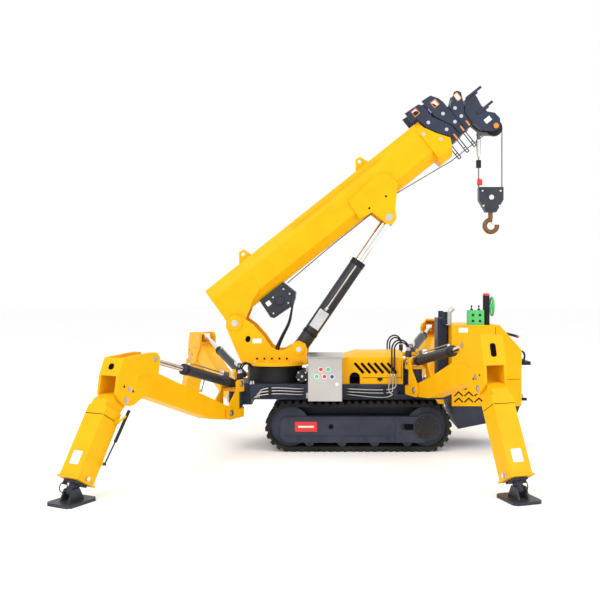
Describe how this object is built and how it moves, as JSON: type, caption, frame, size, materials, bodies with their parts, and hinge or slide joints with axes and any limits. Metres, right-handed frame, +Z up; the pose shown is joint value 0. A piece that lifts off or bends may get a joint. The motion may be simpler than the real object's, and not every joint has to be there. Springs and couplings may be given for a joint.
{
  "type": "crawler crane",
  "caption": "Compact telescopic crawler crane on rubber tracks, with folding outrigger legs, a slewing turret and a hook block.",
  "frame": {"origin": "on the ground, in the middle of the machine's bounding box", "axes": "+X along the tracks towards the rear control box and the boom's tip, +Y across the machine, +Z up"},
  "size_m": [3.742, 4.4868, 3.3621],
  "materials": {
    "yellow paint": "gloss",
    "blue grey paint": "satin",
    "black paint": "satin",
    "track rubber": "matte",
    "chrome rod": "polished",
    "stainless": "brushed",
    "dark iron": "satin",
    "bronze": "cast",
    "green plastic": "satin",
    "wire rope": "matte"
  },
  "bodies": {
    "machine": {"track_left": "track rubber", "track_frame_left": "blue grey paint", "track_right": "track rubber", "track_frame_right": "blue grey paint", "chassis": "blue grey paint", "slew_ring": "black paint", "engine_hood": "yellow paint", "control_box": "yellow paint", "rear_skirt": "blue grey paint", "boom_rest": "blue grey paint", "levers": "black paint", "remote_console": "green plastic", "cabinet": "stainless"},
    "turret": {"turret": "yellow paint"},
    "boom": {"boom_base": "yellow paint", "winch": "dark iron"},
    "section_2": {"boom_section_2": "blue grey paint"},
    "section_3": {"boom_section_3": "blue grey paint"},
    "section_4": {"boom_section_4": "blue grey paint"},
    "section_5": {"boom_section_5": "blue grey paint"},
    "lift_barrel": {"lift_barrel": "dark iron"},
    "lift_rod": {"lift_rod": "chrome rod"},
    "falls": {"rope_falls": "wire rope"},
    "block": {"hook_block": "dark iron"},
    "hook": {"hook": "bronze"},
    "door": {"cabinet_door": "stainless"},
    "bracket_front_left": {"leg_bracket_front_left": "yellow paint"},
    "arm_front_left": {"leg_arm_front_left": "yellow paint"},
    "barrel_front_left": {"leg_barrel_front_left": "dark iron"},
    "rod_front_left": {"leg_rod_front_left": "chrome rod"},
    "lower_front_left": {"leg_lower_front_left": "yellow paint", "leg_foot_front_left": "blue grey paint"},
    "pad_front_left": {"pad_front_left": "blue grey paint"},
    "bracket_front_right": {"leg_bracket_front_right": "yellow paint"},
    "arm_front_right": {"leg_arm_front_right": "yellow paint"},
    "barrel_front_right": {"leg_barrel_front_right": "dark iron"},
    "rod_front_right": {"leg_rod_front_right": "chrome rod"},
    "lower_front_right": {"leg_lower_front_right": "yellow paint", "leg_foot_front_right": "blue grey paint"},
    "pad_front_right": {"pad_front_right": "blue grey paint"},
    "bracket_rear_left": {"leg_bracket_rear_left": "yellow paint"},
    "arm_rear_left": {"leg_arm_rear_left": "yellow paint"},
    "barrel_rear_left": {"leg_barrel_rear_left": "dark iron"},
    "rod_rear_left": {"leg_rod_rear_left": "chrome rod"},
    "lower_rear_left": {"leg_lower_rear_left": "yellow paint", "leg_foot_rear_left": "blue grey paint"},
    "pad_rear_left": {"pad_rear_left": "blue grey paint"},
    "bracket_rear_right": {"leg_bracket_rear_right": "yellow paint"},
    "arm_rear_right": {"leg_arm_rear_right": "yellow paint"},
    "barrel_rear_right": {"leg_barrel_rear_right": "dark iron"},
    "rod_rear_right": {"leg_rod_rear_right": "chrome rod"},
    "lower_rear_right": {"leg_lower_rear_right": "yellow paint", "leg_foot_rear_right": "blue grey paint"},
    "pad_rear_right": {"pad_rear_right": "blue grey paint"}
  },
  "joints": [
    {"name": "slew", "type": "hinge", "parent": "machine", "child": "turret", "pos_m": [-0.49398, 0, 0.755], "axis": [0, 0, 1], "continuous": true},
    {"name": "boom_lift", "type": "hinge", "parent": "turret", "child": "boom", "pos_m": [-0.85598, 0, 1.143], "axis": [0, -1, 0], "range_deg": [-37.5, 36.5]},
    {"name": "telescope", "type": "slide", "parent": "boom", "child": "section_2", "axis": [0.7826, 0, 0.6225], "range_m": [0, 1.45]},
    {"name": "telescope_3", "type": "slide", "parent": "section_2", "child": "section_3", "axis": [0.7826, 0, 0.6225], "range_m": [0, 1.45]},
    {"name": "telescope_4", "type": "slide", "parent": "section_3", "child": "section_4", "axis": [0.7826, 0, 0.6225], "range_m": [0, 1.45]},
    {"name": "telescope_5", "type": "slide", "parent": "section_4", "child": "section_5", "axis": [0.7826, 0, 0.6225], "range_m": [0, 1.45]},
    {"name": "lift_barrel_turn", "type": "hinge", "parent": "turret", "child": "lift_barrel", "pos_m": [-0.26298, 0, 0.9], "axis": [0, -1, 0], "range_deg": [-40.7, 39.62]},
    {"name": "lift_rod_slide", "type": "slide", "parent": "lift_barrel", "child": "lift_rod", "axis": [0.5639, 0, 0.8259], "range_m": [-0.35061, 0.34129]},
    {"name": "falls_hang", "type": "hinge", "parent": "section_5", "child": "falls", "pos_m": [1.57815, 0, 2.98719], "axis": [0, 1, 0], "range_deg": [-37.7, 36.7]},
    {"name": "hoist", "type": "slide", "parent": "falls", "child": "block", "axis": [0, 0, -1], "range_m": [0, 0.8]},
    {"name": "hook_swivel", "type": "hinge", "parent": "block", "child": "hook", "pos_m": [1.54565, 0, 2.18719], "axis": [0, 0, 1], "continuous": true},
    {"name": "door_open", "type": "hinge", "parent": "machine", "child": "door", "pos_m": [-0.17798, -0.464, 0.462], "axis": [0, 0, -1], "range_deg": [0, 110]},
    {"name": "swing_front_left", "type": "hinge", "parent": "machine", "child": "bracket_front_left", "pos_m": [-0.82898, -0.33, 0.37], "axis": [0, 0, -1], "range_deg": [-20, 40]},
    {"name": "raise_front_left", "type": "hinge", "parent": "bracket_front_left", "child": "arm_front_left", "pos_m": [-0.92205, -0.51266, 0.37], "axis": [-0.891, 0.454, 0], "range_deg": [0, 60]},
    {"name": "barrel_turn_front_left", "type": "hinge", "parent": "bracket_front_left", "child": "barrel_front_left", "pos_m": [-0.85168, -0.37455, 0.61], "axis": [-0.891, 0.454, 0], "range_deg": [-0.2, 62.68]},
    {"name": "rod_slide_front_left", "type": "slide", "parent": "barrel_front_left", "child": "rod_front_left", "axis": [-0.4383, -0.8602, 0.2609], "range_m": [-0.29482, 0.001]},
    {"name": "fold_front_left", "type": "hinge", "parent": "arm_front_left", "child": "lower_front_left", "pos_m": [-1.52671, -1.69938, 0.64996], "axis": [0.891, -0.454, 0], "range_deg": [0, 70]},
    {"name": "tilt_front_left", "type": "hinge", "parent": "lower_front_left", "child": "pad_front_left", "pos_m": [-1.72288, -2.08438, 0.075], "axis": [-0.891, 0.454, 0], "range_deg": [-12, 12]},
    {"name": "swing_front_right", "type": "hinge", "parent": "machine", "child": "bracket_front_right", "pos_m": [-0.82898, 0.33, 0.37], "axis": [0, 0, 1], "range_deg": [-20, 40]},
    {"name": "raise_front_right", "type": "hinge", "parent": "bracket_front_right", "child": "arm_front_right", "pos_m": [-0.92205, 0.51266, 0.37], "axis": [0.891, 0.454, 0], "range_deg": [0, 60]},
    {"name": "barrel_turn_front_right", "type": "hinge", "parent": "bracket_front_right", "child": "barrel_front_right", "pos_m": [-0.85168, 0.37455, 0.61], "axis": [0.891, 0.454, 0], "range_deg": [-0.2, 62.68]},
    {"name": "rod_slide_front_right", "type": "slide", "parent": "barrel_front_right", "child": "rod_front_right", "axis": [-0.4383, 0.8602, 0.2609], "range_m": [-0.29482, 0.001]},
    {"name": "fold_front_right", "type": "hinge", "parent": "arm_front_right", "child": "lower_front_right", "pos_m": [-1.52671, 1.69938, 0.64996], "axis": [-0.891, -0.454, 0], "range_deg": [0, 70]},
    {"name": "tilt_front_right", "type": "hinge", "parent": "lower_front_right", "child": "pad_front_right", "pos_m": [-1.72288, 2.08438, 0.075], "axis": [0.891, 0.454, 0], "range_deg": [-12, 12]},
    {"name": "swing_rear_left", "type": "hinge", "parent": "machine", "child": "bracket_rear_left", "pos_m": [0.79102, -0.33, 0.57], "axis": [0, 0, 1], "range_deg": [-14, 42]},
    {"name": "raise_rear_left", "type": "hinge", "parent": "bracket_rear_left", "child": "arm_rear_left", "pos_m": [0.85437, -0.52497, 0.57], "axis": [-0.9511, -0.309, 0], "range_deg": [0, 60]},
    {"name": "barrel_turn_rear_left", "type": "hinge", "parent": "bracket_rear_left", "child": "barrel_rear_left", "pos_m": [0.80647, -0.37755, 0.81], "axis": [-0.9511, -0.309, 0], "range_deg": [-0.2, 61.99]},
    {"name": "rod_slide_rear_left", "type": "slide", "parent": "barrel_rear_left", "child": "rod_rear_left", "axis": [0.3029, -0.9321, 0.1987], "range_m": [-0.2936, 0.001]},
    {"name": "fold_rear_left", "type": "hinge", "parent": "arm_rear_left", "child": "lower_rear_left", "pos_m": [1.21115, -1.62301, 0.72571], "axis": [0.9511, 0.309, 0], "range_deg": [0, 70]},
    {"name": "tilt_rear_left", "type": "hinge", "parent": "lower_rear_left", "child": "pad_rear_left", "pos_m": [1.33951, -2.01808, 0.075], "axis": [-0.9511, -0.309, 0], "range_deg": [-12, 12]},
    {"name": "swing_rear_right", "type": "hinge", "parent": "machine", "child": "bracket_rear_right", "pos_m": [0.79102, 0.33, 0.57], "axis": [0, 0, -1], "range_deg": [-14, 42]},
    {"name": "raise_rear_right", "type": "hinge", "parent": "bracket_rear_right", "child": "arm_rear_right", "pos_m": [0.85437, 0.52497, 0.57], "axis": [0.9511, -0.309, 0], "range_deg": [0, 60]},
    {"name": "barrel_turn_rear_right", "type": "hinge", "parent": "bracket_rear_right", "child": "barrel_rear_right", "pos_m": [0.80647, 0.37755, 0.81], "axis": [0.9511, -0.309, 0], "range_deg": [-0.2, 61.99]},
    {"name": "rod_slide_rear_right", "type": "slide", "parent": "barrel_rear_right", "child": "rod_rear_right", "axis": [0.3029, 0.9321, 0.1987], "range_m": [-0.2936, 0.001]},
    {"name": "fold_rear_right", "type": "hinge", "parent": "arm_rear_right", "child": "lower_rear_right", "pos_m": [1.21115, 1.62301, 0.72571], "axis": [-0.9511, 0.309, 0], "range_deg": [0, 70]},
    {"name": "tilt_rear_right", "type": "hinge", "parent": "lower_rear_right", "child": "pad_rear_right", "pos_m": [1.33951, 2.01808, 0.075], "axis": [0.9511, -0.309, 0], "range_deg": [-12, 12]}
  ],
  "couplings": [
    {"joint": "telescope_3", "follows": "telescope", "ratio": 1},
    {"joint": "telescope_4", "follows": "telescope", "ratio": 1},
    {"joint": "telescope_5", "follows": "telescope", "ratio": 1},
    {"joint": "lift_barrel_turn", "follows": "boom_lift", "ratio": 1.08},
    {"joint": "lift_rod_slide", "follows": "boom_lift", "m_per_rad": 0.53417},
    {"joint": "falls_hang", "follows": "boom_lift", "ratio": 1},
    {"joint": "barrel_turn_front_left", "follows": "raise_front_left", "ratio": 1.0414},
    {"joint": "rod_slide_front_left", "follows": "raise_front_left", "m_per_rad": -0.28058},
    {"joint": "barrel_turn_front_right", "follows": "raise_front_right", "ratio": 1.0414},
    {"joint": "rod_slide_front_right", "follows": "raise_front_right", "m_per_rad": -0.28058},
    {"joint": "barrel_turn_rear_left", "follows": "raise_rear_left", "ratio": 1.0299},
    {"joint": "rod_slide_rear_left", "follows": "raise_rear_left", "m_per_rad": -0.27941},
    {"joint": "barrel_turn_rear_right", "follows": "raise_rear_right", "ratio": 1.0299},
    {"joint": "rod_slide_rear_right", "follows": "raise_rear_right", "m_per_rad": -0.27941}
  ]
}
